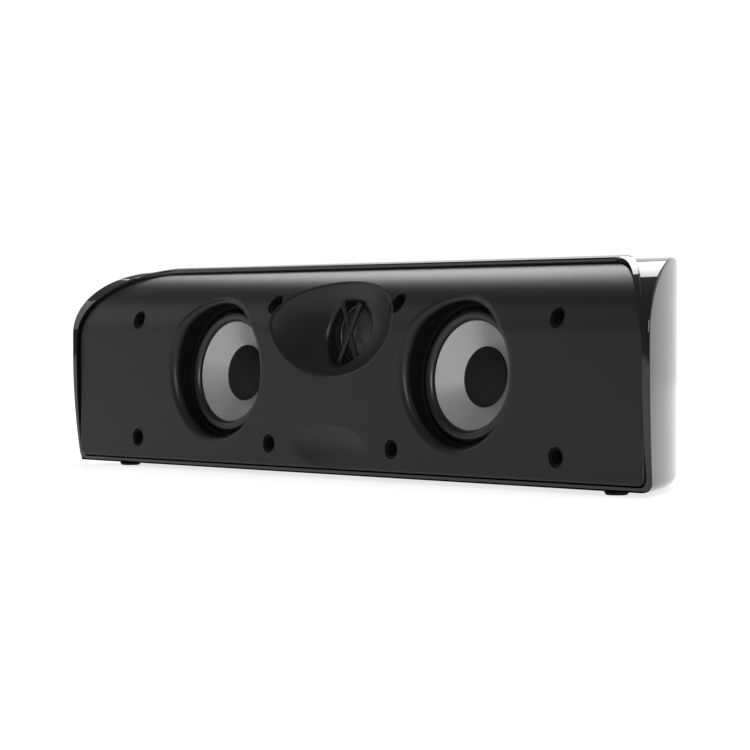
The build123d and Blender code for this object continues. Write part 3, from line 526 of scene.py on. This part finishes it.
def shell():
    shape = Shape()

    # Edge between the skin and the walls, from the bottom middle up the right side to the rear middle
    s = np.unique(np.concatenate([SKIN.s, SKIN_FINE]))
    spot, skin_n = SKIN.at(0.0, s)
    y, z = spot[:, 1], spot[:, 2]
    u = plan_u(y)
    wall_n = plan_at(u)[1]
    dip = np.clip((FLOOR + BOTTOM_EDGE - z) / BOTTOM_EDGE, 0, 1)
    level = np.sqrt(1 - dip**2)
    x = half_width(y) - BOTTOM_EDGE * (1 - level)
    side_n = np.concatenate([wall_n * level[:, None], -dip[:, None]], -1)
    side_p = np.stack([x, y, z], -1)
    sill_x = np.linspace(0, x[0], 12)[:-1]
    sill_p = np.stack([sill_x, np.full(11, y[0]), np.full(11, FLOOR)], -1)
    back_x = np.linspace(x[-1], 0, 12)[1:]
    back_p = np.stack([back_x, np.full(11, REAR), np.full(11, z[-1])], -1)
    point = np.concatenate([sill_p, side_p, back_p])
    n1 = np.concatenate([np.repeat(skin_n[:1], 11, 0), skin_n, np.repeat(skin_n[-1:], 11, 0)])
    n2 = np.concatenate([np.tile([0.0, 0, -1], (11, 1)), side_n, np.tile([0.0, 1, 0], (11, 1))])
    s_all = np.concatenate([np.zeros(11), s, np.full(11, s[-1])])
    mirror = np.array([-1.0, 1, 1])
    point = np.concatenate([point, (point * mirror)[-2:0:-1]])
    n1 = np.concatenate([n1, (n1 * mirror)[-2:0:-1]])
    n2 = np.concatenate([n2, (n2 * mirror)[-2:0:-1]])
    s_all = np.concatenate([s_all, s_all[-2:0:-1]])
    share = (n1 * n2).sum(1, keepdims=True)
    centre = point - CREASE_EDGE / (1 + share) * (n1 + n2)
    blend = np.linspace(0, 1, 7)[:, None, None]
    arc_n = unit((1 - blend) * n1 + blend * n2)
    shape.grid(centre + CREASE_EDGE * arc_n, arc_n, closed=True)
    first = centre + CREASE_EDGE * n1
    last = centre + CREASE_EDGE * n2

    # Skin over the front, the roll and the top, with the opening left out
    tangent = np.stack([np.zeros(len(n1)), n1[:, 2], -n1[:, 1]], -1)
    loop = np.stack([first[:, 0], s_all + ((first - point) * tangent).sum(1)], -1)
    flat, out = on_profile(front_outline(0), SKIN)
    width = lip_width(out)
    hole = flat + out * (width - LIP_OVERLAP)[:, None]
    levels = np.linspace(SKIN_MARGIN, SKIN.s[-1] - SKIN_MARGIN, SKIN_ROWS)
    lines = [[(-WIDTH, k), (WIDTH, k)] for k in levels]
    lines += [[(k, -SKIN_MARGIN), (k, SKIN.s[-1] + SKIN_MARGIN)] for k in SKIN_RIBS]
    cut_sheet(shape, loop, [hole], lines, SKIN.at)

    # Raised lip round the opening
    steep = np.clip(SKIN.at(flat[:, 0], flat[:, 1])[1][:, 2], 0, 1)
    across_top = np.clip(out[:, 1], 0, 1) ** LIP_FADE
    rise = LIP_LOW + (LIP_PROUD - LIP_LOW) * steep * across_top
    soft = LIP_SOFT + LIP_SOFT_SHARE * rise
    turn = np.linspace(0, math.pi / 2, 7)
    rows = [(0 * width, -LIP_REACH), (0 * width, rise - soft)]
    rows += [(soft * (1 - np.cos(a)) + 0 * width, rise - soft + soft * np.sin(a)) for a in turn]
    rows += [(soft + (width - 2 * soft) * k, rise) for k in (0.25, 0.5, 0.75)]
    rows += [(width - soft + soft * np.sin(a), rise - soft + soft * np.cos(a)) for a in turn]
    rows += [(width, -LIP_FOOT)]
    lip = np.stack([follow(SKIN, flat, out, a, b) for a, b in rows])
    toward = np.stack([SKIN.at(flat[:, 0], flat[:, 1])[1]] * len(rows))
    lean = np.zeros_like(toward)
    tangent = np.stack([np.zeros(len(flat)), toward[0][:, 2], -toward[0][:, 1]], -1)
    sideways = LIP_LEAN * (out[:, :1] * ACROSS + out[:, 1:] * tangent)
    half = len(rows) // 2
    lean[:half] = -sideways
    lean[half:] = sideways
    shape.grid(lip, swept_normals(lip, True, toward + lean), closed=True)

    # Belt of side and rear walls, with the terminal rabbet and the insert's hole
    u_all = np.concatenate([np.zeros(11), u, PLAN_U[SIDE_END] + (REAR_FLAT - back_x)])
    u_all = np.concatenate([u_all, 2 * PLAN_U[-1] - u_all[-2:0:-1]])
    along = np.stack([-n2[:, 1], n2[:, 0], np.zeros(len(n2))], -1)
    shift = ((last - point) * along).sum(1)
    belt = np.stack([u_all + shift, last[:, 2]], -1)
    keep = np.concatenate([np.zeros(11), z >= FLOOR + BOTTOM_EDGE, np.ones(11)]).astype(bool)
    keep = np.concatenate([keep, keep[-2:0:-1]])
    belt = belt[keep]
    low_z = FLOOR + BOTTOM_EDGE
    belt[0, 1] = belt[-1, 1] = low_z
    middle_u = PLAN_U[-1]
    rabbet = rounded_loop(RABBET_WIDE, RABBET_TALL, RABBET_CORNER) + [middle_u, CUP_Z]
    ring = np.linspace(0, 2 * math.pi, 49)[:-1]
    thread = np.stack([middle_u + INSERT_R * np.cos(ring), INSERT_Z + INSERT_R * np.sin(ring)], -1)
    stops = np.concatenate([PLAN_U, 2 * PLAN_U[-1] - PLAN_U[:-1]])
    lines = [[(k, -BELT_MARGIN), (k, CROWN + BELT_MARGIN)] for k in stops]

    def on_belt(u_flat, z_flat):
        spot, normal = plan_at(u_flat)
        zero = np.zeros((len(spot), 1))
        return np.concatenate([spot, z_flat[:, None]], -1), np.concatenate([normal, zero], -1)

    cut_sheet(shape, belt, [rabbet, thread], lines, on_belt)
    rim = on_belt(rabbet[:, 0], rabbet[:, 1])[0]
    sunk = np.stack([rim, rim - [0, RABBET_DEEP, 0]])
    centre_line = np.array([0, REAR, CUP_Z])
    shape.grid(sunk, swept_normals(sunk, True, centre_line - sunk), closed=True)

    # Rounded lower edge and the underside
    u_start = belt[0, 0]
    path_u = np.linspace(u_start, 2 * PLAN_U[-1] - u_start, 320)
    spot, normal = plan_at(path_u)
    turn = np.linspace(0, math.pi / 2, 9)
    rows, normals = [], []
    for a in turn:
        edge = spot - normal * BOTTOM_EDGE * (1 - math.cos(a))
        height = np.full((len(spot), 1), low_z - BOTTOM_EDGE * math.sin(a))
        rows.append(np.concatenate([edge, height], -1))
        normals.append(np.concatenate([normal * math.cos(a), np.full((len(spot), 1), -math.sin(a))], -1))
    shape.grid(np.stack(rows), np.stack(normals))
    under = rows[-1]
    hub = np.array([[0, 0, FLOOR]])
    count = len(under)
    fan = [(0, k + 1, (k + 1) % count + 1) for k in range(count)]
    shape.patch(np.concatenate([hub, under]), np.tile([0.0, 0, -1], (count + 1, 1)), fan)
    shape.build("shell_body", "shell", "cabinet", "cabinet_shell")


def onto_face(centre, radius, angle, axis, right, up):
    """Where a cylinder meets the baffle's face."""
    ring = centre + radius * (np.cos(angle)[:, None] * right + np.sin(angle)[:, None] * up)
    t = np.zeros(len(angle))
    for _ in range(40):
        spot = ring + t[:, None] * axis
        t += (spot[:, 1] - FACE.y_of_z(spot[:, 2])) / -axis[1]
    return ring + t[:, None] * axis


def flat_loop(points):
    return np.stack([points[:, 0], FACE.s_of_z(points[:, 2])], -1)


TURN = np.linspace(0, 2 * math.pi, 145)[:-1]
STRAIGHT = np.array([0.0, -1.0, 0.0])
UP = np.array([0.0, 0.0, 1.0])
DRIVER_RING = np.cos(TURN)[:, None] * ACROSS + np.sin(TURN)[:, None] * UPWARD


def socket_places():
    outer = [(SOCKET_OUTER_X, SOCKET_LOW_Z), (SOCKET_OUTER_X, SOCKET_OUTER_HIGH_Z)]
    inner = [(SOCKET_INNER_X, SOCKET_LOW_Z), (SOCKET_INNER_X, SOCKET_INNER_HIGH_Z)]
    return [(side * x, z) for side in (-1, 1) for x, z in outer + inner]


def baffle():
    shape = Shape()
    flat, out = on_profile(front_outline(-BAFFLE_GAP), FACE)
    e = BAFFLE_EDGE
    turn = np.linspace(0, math.pi / 2, 8)
    rows = [(-e + e * math.sin(a), -e + e * math.cos(a)) for a in turn] + [(0.0, -BAFFLE_SKIRT)]
    edge = np.stack([follow(FACE, flat, out, a, b) for a, b in rows])
    normal = FACE.at(flat[:, 0], flat[:, 1])[1]
    tangent = np.stack([np.zeros(len(flat)), normal[:, 2], -normal[:, 1]], -1)
    sideways = out[:, :1] * ACROSS + out[:, 1:] * tangent
    shape.grid(edge, swept_normals(edge, True, normal + sideways), closed=True)
    loop = flat - e * out

    holes = []
    # A near-black sheet on the recess walls, the recess step and the socket walls: painted shade that makes
    # these hollows darker than the satin baffle they are cut in.
    painted_shade_sheet = Shape()
    # Woofer recesses
    for x in (-WOOFER_X, WOOFER_X):
        centre = np.array([x, CONE_Y, WOOFER_Z])
        outer = onto_face(centre, RECESS_R + MOUTH_EDGE, TURN, AHEAD, ACROSS, UPWARD)
        corner = onto_face(centre, RECESS_R, TURN, AHEAD, ACROSS, UPWARD)
        band = rounding(outer, corner, corner - MOUTH_EDGE * AHEAD, 10)
        inward = -RECESS_R * DRIVER_RING
        shape.grid(band, swept_normals(band, True, inward / RECESS_R + AHEAD), closed=True)
        foot = centre + RECESS_LIP * AHEAD - inward
        wall = np.stack([corner - MOUTH_EDGE * AHEAD, foot])
        painted_shade_sheet.grid(wall, np.stack([inward, inward]), closed=True)
        lathe(painted_shade_sheet, centre, (RECESS_R, RECESS_LIP_R + LIP_EDGE), (RECESS_LIP, RECESS_LIP), -1)
        turn = np.linspace(0, math.pi / 2, 6)
        edge_r = RECESS_LIP_R + LIP_EDGE * (1 - np.sin(turn))
        edge_z = RECESS_LIP - LIP_EDGE * (1 - np.cos(turn))
        lathe(painted_shade_sheet, centre, edge_r, edge_z, -1)
        lathe(painted_shade_sheet, centre, (RECESS_LIP_R, RECESS_LIP_R), (RECESS_LIP - LIP_EDGE, -RECESS_FOOT), -1)
        holes.append(flat_loop(outer))

    # Tweeter dish, its throat and the guard
    centre = np.array([0.0, TWEETER_Y, TWEETER_Z])
    heading = np.stack([np.cos(TURN), np.sin(TURN)], -1)

    def dish_y(x, z):
        rest = 1 - (x / DISH_WIDE) ** 2 - ((z - DISH_Z) / DISH_TALL) ** 2
        return BAFFLE_Y - DISH_AHEAD + DISH_DEEP * np.sqrt(np.clip(rest, 0, 1))

    near, far = np.full(len(TURN), RIM_NEAREST), np.full(len(TURN), RIM_FARTHEST)
    for _ in range(60):
        reach = (near + far) / 2
        x, z = reach * heading[:, 0], TWEETER_Z + reach * heading[:, 1]
        deep = dish_y(x, z) - FACE.y_of_z(z)
        gone = (x / DISH_WIDE) ** 2 + ((z - DISH_Z) / DISH_TALL) ** 2 >= 1
        beyond = gone | (deep <= 0)
        far = np.where(beyond, reach, far)
        near = np.where(beyond, near, reach)

    def face_at(reach):
        x, z = reach * heading[:, 0], TWEETER_Z + reach * heading[:, 1]
        return np.stack([x, FACE.y_of_z(z), z], -1)

    def dish_at(reach):
        x, z = reach * heading[:, 0], TWEETER_Z + reach * heading[:, 1]
        return np.stack([x, dish_y(x, z), z], -1)

    rim = near
    outer = face_at(rim + DISH_EDGE)
    band = rounding(outer, face_at(rim), dish_at(rim - DISH_EDGE), 6)
    shape.grid(band, swept_normals(band, True, STRAIGHT), closed=True)
    holes.append(flat_loop(outer))
    steps = np.linspace(0, 1, 40)
    throat = THROAT_R + THROAT_EDGE
    bowl = np.stack([dish_at((rim - DISH_EDGE) * (1 - k) + throat * k) for k in steps])
    spread = np.array([DISH_WIDE, DISH_DEEP, DISH_TALL]) ** 2
    bowl_n = -(bowl - [0, BAFFLE_Y - DISH_AHEAD, DISH_Z]) / spread
    shape.grid(bowl, bowl_n, closed=True)
    corner = dish_at(np.full(len(TURN), THROAT_R))
    band = rounding(dish_at(np.full(len(TURN), throat)), corner, corner - THROAT_EDGE * AHEAD, 8)
    inward = -np.stack([heading[:, 0], 0 * TURN, heading[:, 1]], -1)
    shape.grid(band, swept_normals(band, True, inward + AHEAD), closed=True)
    foot = centre + THROAT_R * DRIVER_RING - THROAT_DEEP * AHEAD
    wall = np.stack([corner - THROAT_EDGE * AHEAD, foot])
    shape.grid(wall, np.stack([inward, inward]), closed=True)
    for lean in (GUARD_LEAN, -GUARD_LEAN):
        along = math.cos(lean) * UPWARD + math.sin(lean) * ACROSS
        across = math.cos(lean) * ACROSS - math.sin(lean) * UPWARD
        ring = np.linspace(0, 2 * math.pi, 25)[:-1]
        section = GUARD_WIDE * np.cos(ring)[:, None] * across + GUARD_DEEP * np.sin(ring)[:, None] * AHEAD
        facing = np.cos(ring)[:, None] / GUARD_WIDE * across + np.sin(ring)[:, None] / GUARD_DEEP * AHEAD
        ends = np.array(GUARD_ENDS) * (THROAT_R + GUARD_REACH)
        bar = np.stack([centre + k * along + section * f for k, f in zip(ends, GUARD_FLARE)])
        shape.grid(bar, np.stack([facing] * len(ends)), closed=True)

    # Grille sockets and the bare oval hollow
    for x, z in socket_places():
        centre = np.array([x, BAFFLE_Y, z])
        angle = TURN[::3]
        outer = onto_face(centre, SOCKET_R + SOCKET_EDGE, angle, STRAIGHT, ACROSS, UP)
        corner = onto_face(centre, SOCKET_R, angle, STRAIGHT, ACROSS, UP)
        band = rounding(outer, corner, corner - SOCKET_EDGE * STRAIGHT, 4)
        inward = -(np.cos(angle)[:, None] * ACROSS + np.sin(angle)[:, None] * UP)
        shape.grid(band, swept_normals(band, True, inward + STRAIGHT), closed=True)
        wall = np.stack([corner - SOCKET_EDGE * STRAIGHT, corner - SOCKET_DEEP * STRAIGHT])
        # The socket wall goes on the painted shade sheet, darker than the baffle around it.
        painted_shade_sheet.grid(wall, np.stack([inward, inward]), closed=True)
        holes.append(flat_loop(outer))

    def oval_at(share):
        sunk = BAFFLE_Y - OVAL_AHEAD + OVAL_DEEP * math.sqrt(1 - (OVAL_SHARE * share) ** 2)
        y = np.full(len(TURN), sunk if share < 1 else BAFFLE_Y)
        x = share * OVAL_WIDE * np.cos(TURN)
        z = OVAL_Z + share * OVAL_TALL * np.sin(TURN)
        return np.stack([x, y, z], -1)

    outer = oval_at(1 + OVAL_EDGE)
    band = rounding(outer, oval_at(1), oval_at(1 - OVAL_EDGE), 6)
    steps = np.linspace(1 - OVAL_EDGE, OVAL_HUB, 16)[1:]
    bowl = np.concatenate([band, np.stack([oval_at(k) for k in steps])])
    shape.grid(bowl, swept_normals(bowl, True, STRAIGHT), closed=True)
    holes.append(flat_loop(outer))

    rolled = FACE.s[FACE.z > ROLL_Z - 1][::3]
    level = np.linspace(FACE.s_of_z(FACE_LOW_Z), FACE.s_of_z(ROLL_Z), 12)
    lines = [[(-WIDTH, k), (WIDTH, k)] for k in np.concatenate([rolled, level])]
    lines += [[(k, 0), (k, FACE.s[-1])] for k in FACE_RIBS]
    cut_sheet(shape, loop, holes, lines, FACE.at)
    # The painted shade sheet of the hollows takes the near-black rubber finish.
    painted_shade_sheet.build("painted_shade_hollows", "rubber_black", "cabinet")
    shape.build("baffle_face", "baffle", "cabinet", "front_baffle")


def lathe(shape, centre, r, z, front=1.0):
    """One smooth profile turned round a driver's axis; front picks the side that shows."""
    r, z = np.asarray(r, float), np.asarray(z, float)
    points = centre + r[:, None, None] * DRIVER_RING + z[:, None, None] * AHEAD
    dr, dz = np.gradient(r), np.gradient(z)
    size = np.hypot(dr, dz)
    nr, nz = -dz / size * front, dr / size * front
    normals = nr[:, None, None] * DRIVER_RING + nz[:, None, None] * AHEAD
    shape.grid(points, normals, closed=True)


def woofer(side, x):
    centre = np.array([x, CONE_Y, WOOFER_Z])
    body = "woofer_%s_cone" % side
    cone = Shape()
    lathe(cone, centre, np.linspace(CONE_R, CONE_NECK_R, 14), np.linspace(0, -CONE_DEEP, 14), -1)
    cone.build("cone_" + side, "cone", body, "woofer_%s_cone" % side)

    cap = Shape()
    a = np.linspace(0, 1, 20)
    bend = (CAP_R**2 + CAP_RISE**2) / (2 * CAP_RISE)
    r = CAP_R * (1 - a) + CAP_HUB
    lathe(cap, centre, r, CAP_Z + CAP_RISE - bend + np.sqrt(bend**2 - r**2), -1)
    cap.build("dust_cap_" + side, "dust_cap", body, "woofer_%s_dust_cap" % side)

    roll = Shape()
    a = np.linspace(0, math.pi, 30)
    lathe(roll, centre, SURROUND_R - SURROUND_HALF * np.cos(a), SURROUND_TALL * np.sin(a), 1)
    lathe(roll, centre, np.linspace(SURROUND_OUT, SURROUND_FLANGE, 3), np.linspace(0, SURROUND_SEAT, 3), 1)
    obj = roll.build("surround_" + side, "surround", None, "woofer_%s_surround" % side)
    stretch(obj)

    cloth = Shape()
    r = np.linspace(SPIDER_IN, SPIDER_OUT, 60)
    share = np.clip((r - SPIDER_IN) / (SPIDER_FOOT - SPIDER_IN), 0, 1)
    lathe(cloth, centre, r, SPIDER_Z + SPIDER_WAVE * np.sin(2 * math.pi * share) ** 2, 1)
    obj = cloth.build("spider_" + side, "spider", None, "woofer_%s_spider" % side)
    stretch(obj)


def tweeter():
    centre = np.array([0.0, TWEETER_Y, TWEETER_Z])
    roll = Shape()
    a = np.linspace(0, math.pi, 20)
    middle = (DOME_R + DOME_ROLL_R) / 2
    half = (DOME_ROLL_R - DOME_R) / 2
    lathe(roll, centre, middle - half * np.cos(a), DOME_EDGE + DOME_ROLL * np.sin(a), 1)
    flange = np.linspace(DOME_ROLL_R, DOME_FLANGE_R, 3)
    lathe(roll, centre, flange, DOME_EDGE + np.linspace(0, DOME_FLANGE_RISE, 3), 1)
    obj = roll.build("dome_surround", "surround", None, "tweeter_surround")
    stretch(obj)


def stretch(obj):
    """Bakes a surround's or spider's placement into its mesh; it is not tied to a moving body."""
    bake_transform(obj)


shell()
baffle()
woofer("left", -WOOFER_X)
woofer("right", WOOFER_X)
tweeter()

# Finish of the CAD nodes that show as they are
slots = {row["node"]: row["material_slot"] for row in frame["record"]["subparts"]}
for name, obj in frame["nodes"].items():
    obj.data.materials.clear()
    obj.data.materials.append(MATS[slots[name]])

# Floor, backdrop, lights and camera, in metres, watts and degrees
FLOOR_SIZE = 8.0
FLOOR_SHADE = 0.5
FLOOR_GLOW = 0.76
ROOM_FRONT = 0.2
ROOM_BACK = 1.03
BACK_FROM, BACK_TO = -0.2, 0.2
EDGE_LEAN = -1.4
EDGE_SHIFT = -1.008
EDGE_FROM, EDGE_TO = 0.27, 0.34
LIGHT_AIM = (0, 0, 0.05)
LIGHTS = (
    ("top_back", (-1.275, 0.96, 1.255), 0.85, 0.85, 11.5),
    ("front_right", (1.45, -1.3, 0.6), 0.5, 0.8, 20),
    ("fill_left", (-1.7, -0.79, 0.73), 1.0, 1.0, 3.2),
)
CAMERA_PLACE = (0.8162, -0.7685, 0.0607)
CAMERA_DOWN = 0.927
CAMERA_TURN = 47.827
CAMERA_LENS = 125.76
CAMERA_SENSOR = 36.0


def stage_plane(name, size, place, turn, mat):
    bpy.ops.mesh.primitive_plane_add(size=size, location=place, rotation=turn)
    plane = bpy.context.object
    plane.name = name
    plane.data.materials.append(mat)


def pale(name, colour, strength):
    mat = bpy.data.materials.new(name)
    mat.use_nodes = True
    shader = mat.node_tree.nodes["Principled BSDF"]
    shader.inputs["Base Color"].default_value = (colour, colour, colour, 1.0)
    shader.inputs["Roughness"].default_value = 1.0
    shader.inputs["Specular IOR Level"].default_value = 0.0
    shader.inputs["Emission Color"].default_value = (1.0, 1.0, 1.0, 1.0)
    shader.inputs["Emission Strength"].default_value = strength
    return mat


def studio():
    """A white backdrop behind the object and a dim room in front of it."""
    world = bpy.data.worlds.new("studio")
    bpy.context.scene.world = world
    world.use_nodes = True
    tree = world.node_tree
    tree.nodes.clear()

    def ramp(value, low, high, start, end):
        step = tree.nodes.new("ShaderNodeMapRange")
        step.interpolation_type = "SMOOTHSTEP"
        step.inputs["From Min"].default_value = low
        step.inputs["From Max"].default_value = high
        step.inputs["To Min"].default_value = start
        step.inputs["To Max"].default_value = end
        tree.links.new(value, step.inputs["Value"])
        return step.outputs["Result"]

    aim = tree.nodes.new("ShaderNodeTexCoord")
    split = tree.nodes.new("ShaderNodeSeparateXYZ")
    tree.links.new(aim.outputs["Generated"], split.inputs["Vector"])
    behind = ramp(split.outputs["Y"], BACK_FROM, BACK_TO, 0.0, 1.0)

    # The backdrop's upper edge slants across the room
    lean = tree.nodes.new("ShaderNodeMath")
    lean.operation = "MULTIPLY_ADD"
    lean.inputs[1].default_value = EDGE_LEAN
    lean.inputs[2].default_value = EDGE_SHIFT
    tree.links.new(split.outputs["X"], lean.inputs[0])
    height = tree.nodes.new("ShaderNodeMath")
    tree.links.new(split.outputs["Z"], height.inputs[0])
    tree.links.new(lean.outputs[0], height.inputs[1])
    lower = ramp(height.outputs[0], EDGE_FROM, EDGE_TO, ROOM_BACK - ROOM_FRONT, 0.0)

    wall = tree.nodes.new("ShaderNodeMath")
    wall.operation = "MULTIPLY_ADD"
    wall.inputs[2].default_value = ROOM_FRONT
    tree.links.new(behind, wall.inputs[0])
    tree.links.new(lower, wall.inputs[1])
    room = tree.nodes.new("ShaderNodeBackground")
    room.inputs["Color"].default_value = (1, 1, 1, 1)
    tree.links.new(wall.outputs[0], room.inputs["Strength"])
    out = tree.nodes.new("ShaderNodeOutputWorld")
    tree.links.new(room.outputs[0], out.inputs["Surface"])


def softbox(name, place, wide, tall, power):
    light = bpy.data.lights.new(name, "AREA")
    light.shape = "RECTANGLE"
    light.size, light.size_y = wide, tall
    light.energy = power
    obj = bpy.data.objects.new(name, light)
    obj.location = place
    way = Vector(LIGHT_AIM) - Vector(place)
    obj.rotation_euler = way.to_track_quat("-Z", "Y").to_euler()
    bpy.context.scene.collection.objects.link(obj)


stage_plane("floor", FLOOR_SIZE, (0, 0, 0), (0, 0, 0), pale("pale_floor", FLOOR_SHADE, FLOOR_GLOW))
studio()
for light in LIGHTS:
    softbox(*light)

cam = bpy.data.cameras.new("camera")
cam.lens = CAMERA_LENS
cam.sensor_width = CAMERA_SENSOR
view = bpy.data.objects.new("camera", cam)
view.location = CAMERA_PLACE
view.rotation_euler = (math.radians(90 - CAMERA_DOWN), 0, math.radians(CAMERA_TURN))
bpy.context.scene.collection.objects.link(view)
bpy.context.scene.camera = view
bpy.context.scene.view_settings.view_transform = "Standard"
